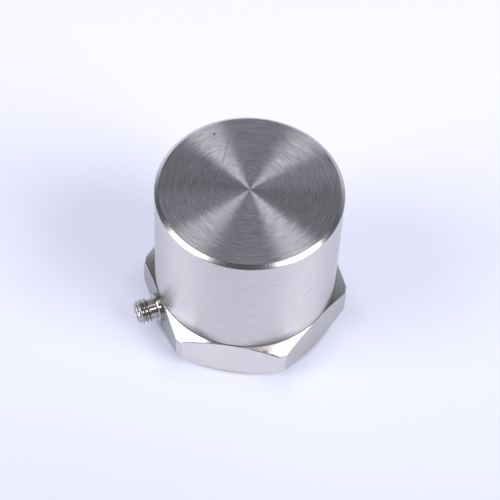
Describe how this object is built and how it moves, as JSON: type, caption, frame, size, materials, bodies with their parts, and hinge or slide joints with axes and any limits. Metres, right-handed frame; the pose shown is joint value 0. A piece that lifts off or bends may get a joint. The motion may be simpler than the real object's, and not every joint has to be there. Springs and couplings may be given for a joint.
{
  "type": "vibration sensor",
  "caption": "Stud-mounted piezoelectric vibration sensor: turned steel housing on a hexagonal base, with a threaded coaxial receptacle in one flat and a preloaded sensing stack inside.",
  "frame": {"origin": "centre of the mounting face, at the mouth of the mounting hole", "axes": "+Z is the sensing axis, from the mounting face to the flat top; the connector points along -X"},
  "size_m": [0.0408, 0.0408, 0.036],
  "materials": {
    "housing_steel": "fine turned stainless steel, rings on the top face",
    "base_steel": "satin milled flats and turned chamfers, stainless steel",
    "connector_steel": "bright machined thread, stainless steel",
    "dielectric": "waxy white fluoropolymer",
    "seal_glass": "dark fused sealing glass",
    "contact_gold": "gold plated copper alloy",
    "sleeve_film": "amber polyimide",
    "piezo_ceramic": "lapped fine-grained ceramic",
    "electrode_copper": "rolled copper alloy foil",
    "mass_metal": "turned heavy alloy",
    "spring_steel": "blued spring steel",
    "nut_steel": "machined steel",
    "washer_fibre": "vulcanised fibre",
    "board_laminate": "solder mask with tinned pads",
    "screw_steel": "bright zinc plated steel",
    "chip_moulding": "moulded epoxy with tinned leads",
    "resistor_ceramic": "glazed film with tinned end caps",
    "capacitor_ceramic": "fired ceramic with tinned end caps",
    "coupling_moulding": "moulded epoxy with a dark end band",
    "diode_moulding": "moulded epoxy with a pale end band",
    "signal_jacket": "red fluoropolymer insulation, tinned ends",
    "output_jacket": "white fluoropolymer insulation, tinned ends"
  },
  "bodies": {
    "root": {"housing": "housing_steel", "hex_base": "base_steel", "connector_shell": "connector_steel", "connector_insulator": "dielectric", "glass_seal": "seal_glass", "connector_contact": "contact_gold", "post_sleeve": "sleeve_film", "piezo_ring_lower": "piezo_ceramic", "centre_electrode": "electrode_copper", "piezo_ring_upper": "piezo_ceramic", "seismic_mass": "mass_metal", "disc_spring": "spring_steel", "preload_nut": "nut_steel", "board_washer": "washer_fibre", "circuit_board": "board_laminate", "board_screw": "screw_steel", "amplifier_chip": "chip_moulding", "chip_resistors": "resistor_ceramic", "chip_capacitors": "capacitor_ceramic", "coupling_capacitor": "coupling_moulding", "protection_diode": "diode_moulding", "signal_lead": "signal_jacket", "output_lead": "output_jacket"}
  },
  "joints": []
}
